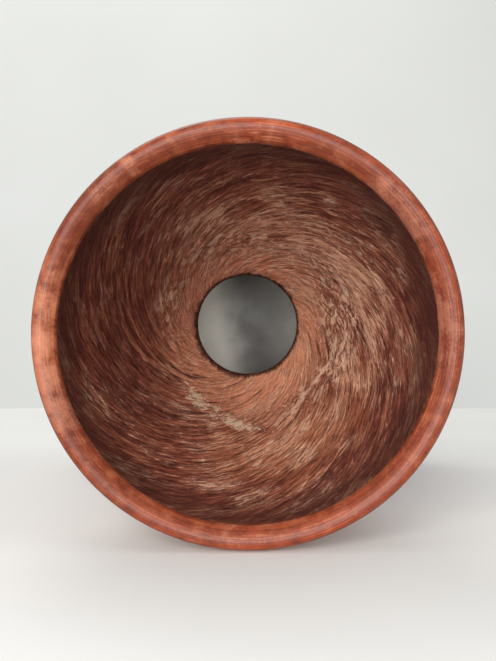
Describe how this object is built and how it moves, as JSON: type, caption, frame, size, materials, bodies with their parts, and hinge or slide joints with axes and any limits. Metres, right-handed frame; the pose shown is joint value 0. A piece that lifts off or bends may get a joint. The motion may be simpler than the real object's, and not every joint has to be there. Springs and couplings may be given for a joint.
{
  "type": "darbuka",
  "caption": "Goblet drum carved from one piece of wood, open bell foot, film head held by a bolted tuning rim.",
  "frame": {"origin": "centre of the foot, on the plane that the foot's lip stands on", "axes": "+Z along the drum's axis, from the foot to the head; X and Y across it, with one tuning screw on +X"},
  "size_m": [0.276, 0.276, 0.43],
  "materials": {
    "wood": "red-brown stained hardwood, oiled outside and on the lip, gouge-carved inside the bell",
    "film": "frosted translucent polyester drum film",
    "hoop_aluminium": "plain extruded aluminium",
    "rim_aluminium": "turned and brushed aluminium, fine turning lines",
    "screw_steel": "zinc-plated steel",
    "washer_steel": "zinc-plated steel",
    "insert_brass": "plain machined brass"
  },
  "bodies": {
    "drum": {"shell": "wood", "head_film": "film", "threaded_insert_1": "insert_brass", "threaded_insert_2": "insert_brass", "threaded_insert_3": "insert_brass", "threaded_insert_4": "insert_brass", "threaded_insert_5": "insert_brass", "threaded_insert_6": "insert_brass", "threaded_insert_7": "insert_brass", "threaded_insert_8": "insert_brass"},
    "rim": {"tuning_rim": "rim_aluminium", "flesh_hoop": "hoop_aluminium", "washer_1": "washer_steel", "washer_2": "washer_steel", "washer_3": "washer_steel", "washer_4": "washer_steel", "washer_5": "washer_steel", "washer_6": "washer_steel", "washer_7": "washer_steel", "washer_8": "washer_steel"},
    "screw_1": {"tuning_screw_1": "screw_steel"},
    "screw_2": {"tuning_screw_2": "screw_steel"},
    "screw_3": {"tuning_screw_3": "screw_steel"},
    "screw_4": {"tuning_screw_4": "screw_steel"},
    "screw_5": {"tuning_screw_5": "screw_steel"},
    "screw_6": {"tuning_screw_6": "screw_steel"},
    "screw_7": {"tuning_screw_7": "screw_steel"},
    "screw_8": {"tuning_screw_8": "screw_steel"}
  },
  "joints": [
    {"name": "rim_travel", "type": "slide", "parent": "drum", "child": "rim", "axis": [0, 0, 1], "range_m": [-0.0015, 0.0015]},
    {"name": "screw_1_turn", "type": "hinge", "parent": "rim", "child": "screw_1", "pos_m": [0.1292, 0, 0.4204], "axis": [0, 0, 1], "range_deg": [-545, 545]},
    {"name": "screw_2_turn", "type": "hinge", "parent": "rim", "child": "screw_2", "pos_m": [0.09136, 0.09136, 0.4204], "axis": [0, 0, 1], "range_deg": [-545, 545]},
    {"name": "screw_3_turn", "type": "hinge", "parent": "rim", "child": "screw_3", "pos_m": [0, 0.1292, 0.4204], "axis": [0, 0, 1], "range_deg": [-545, 545]},
    {"name": "screw_4_turn", "type": "hinge", "parent": "rim", "child": "screw_4", "pos_m": [-0.09136, 0.09136, 0.4204], "axis": [0, 0, 1], "range_deg": [-545, 545]},
    {"name": "screw_5_turn", "type": "hinge", "parent": "rim", "child": "screw_5", "pos_m": [-0.1292, 0, 0.4204], "axis": [0, 0, 1], "range_deg": [-545, 545]},
    {"name": "screw_6_turn", "type": "hinge", "parent": "rim", "child": "screw_6", "pos_m": [-0.09136, -0.09136, 0.4204], "axis": [0, 0, 1], "range_deg": [-545, 545]},
    {"name": "screw_7_turn", "type": "hinge", "parent": "rim", "child": "screw_7", "pos_m": [0, -0.1292, 0.4204], "axis": [0, 0, 1], "range_deg": [-545, 545]},
    {"name": "screw_8_turn", "type": "hinge", "parent": "rim", "child": "screw_8", "pos_m": [0.09136, -0.09136, 0.4204], "axis": [0, 0, 1], "range_deg": [-545, 545]}
  ],
  "couplings": [
    {"joint": "screw_1_turn", "follows": "rim_travel", "rad_per_m": 6283.2},
    {"joint": "screw_2_turn", "follows": "rim_travel", "rad_per_m": 6283.2},
    {"joint": "screw_3_turn", "follows": "rim_travel", "rad_per_m": 6283.2},
    {"joint": "screw_4_turn", "follows": "rim_travel", "rad_per_m": 6283.2},
    {"joint": "screw_5_turn", "follows": "rim_travel", "rad_per_m": 6283.2},
    {"joint": "screw_6_turn", "follows": "rim_travel", "rad_per_m": 6283.2},
    {"joint": "screw_7_turn", "follows": "rim_travel", "rad_per_m": 6283.2},
    {"joint": "screw_8_turn", "follows": "rim_travel", "rad_per_m": 6283.2}
  ]
}
